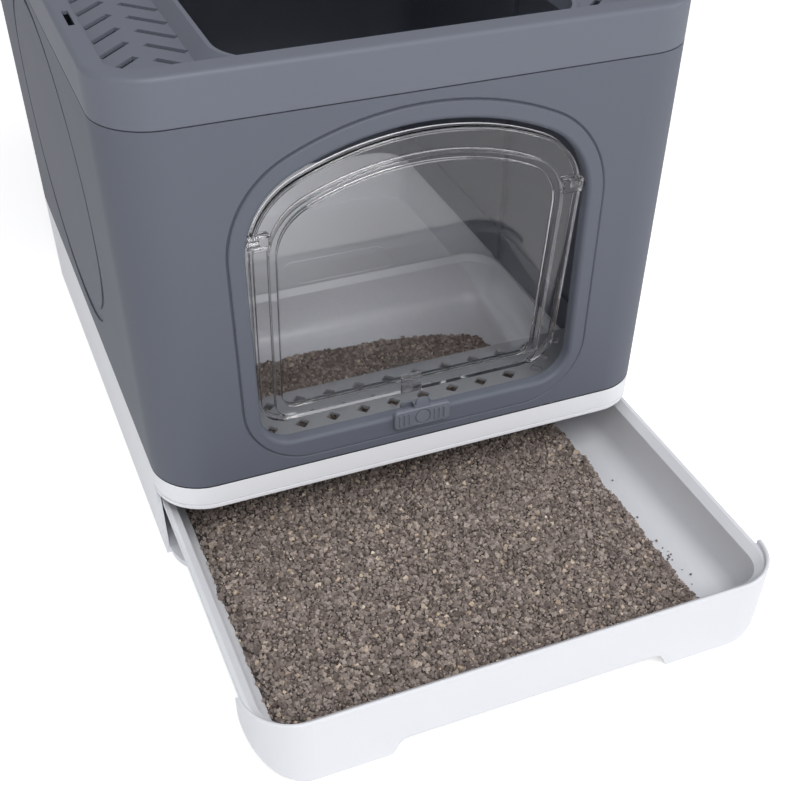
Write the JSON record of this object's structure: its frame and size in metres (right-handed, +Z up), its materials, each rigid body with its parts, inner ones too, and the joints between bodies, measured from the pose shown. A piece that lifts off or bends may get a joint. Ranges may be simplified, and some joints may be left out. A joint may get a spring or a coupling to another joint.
{
  "type": "drawer litter box",
  "caption": "Enclosed litter box with a pull-out litter drawer, two-part cabin, clear arched flap door with a slide latch, and a lift-off slotted top with an exit hole.",
  "frame": {"origin": "middle of the body's footprint, on the floor", "axes": "+Z up, -Y towards the doorway and the drawer's front, +X to the right seen from the front"},
  "size_m": [0.41, 0.766, 0.3935],
  "materials": {
    "white": "satin moulded plastic",
    "pale_grey": "satin moulded plastic",
    "grey": "fine matt moulded plastic",
    "light_grey": "fine matt moulded plastic",
    "clear": "clear polished plastic",
    "litter": "loose dry granules"
  },
  "bodies": {
    "housing": {"base_housing": "white", "sill_plate": "pale_grey", "front_shell": "grey", "rear_shell": "grey", "seam_strip_left": "grey", "seam_strip_right": "grey"},
    "drawer": {"drawer_tray": "white", "litter_bed": "litter"},
    "door": {"flap_door": "clear", "door_catch": "clear", "hinge_pin_left": "clear", "hinge_pin_right": "clear"},
    "latch": {"latch_slider": "grey", "latch_keeper": "grey"},
    "lid": {"top_frame": "light_grey"}
  },
  "joints": [
    {"name": "drawer_slide", "type": "slide", "parent": "housing", "child": "drawer", "axis": [0, -1, 0], "range_m": [-0.216, 0.3]},
    {"name": "door_swing", "type": "hinge", "parent": "housing", "child": "door", "pos_m": [0, -0.268, 0.2775], "axis": [1, 0, 0], "range_deg": [-6, 84]},
    {"name": "latch_slide", "type": "slide", "parent": "housing", "child": "latch", "axis": [0, 0, 1], "range_m": [-0.01, 0]},
    {"name": "lid_lift", "type": "slide", "parent": "housing", "child": "lid", "axis": [0, 0, 1], "range_m": [0, 0.1]}
  ]
}
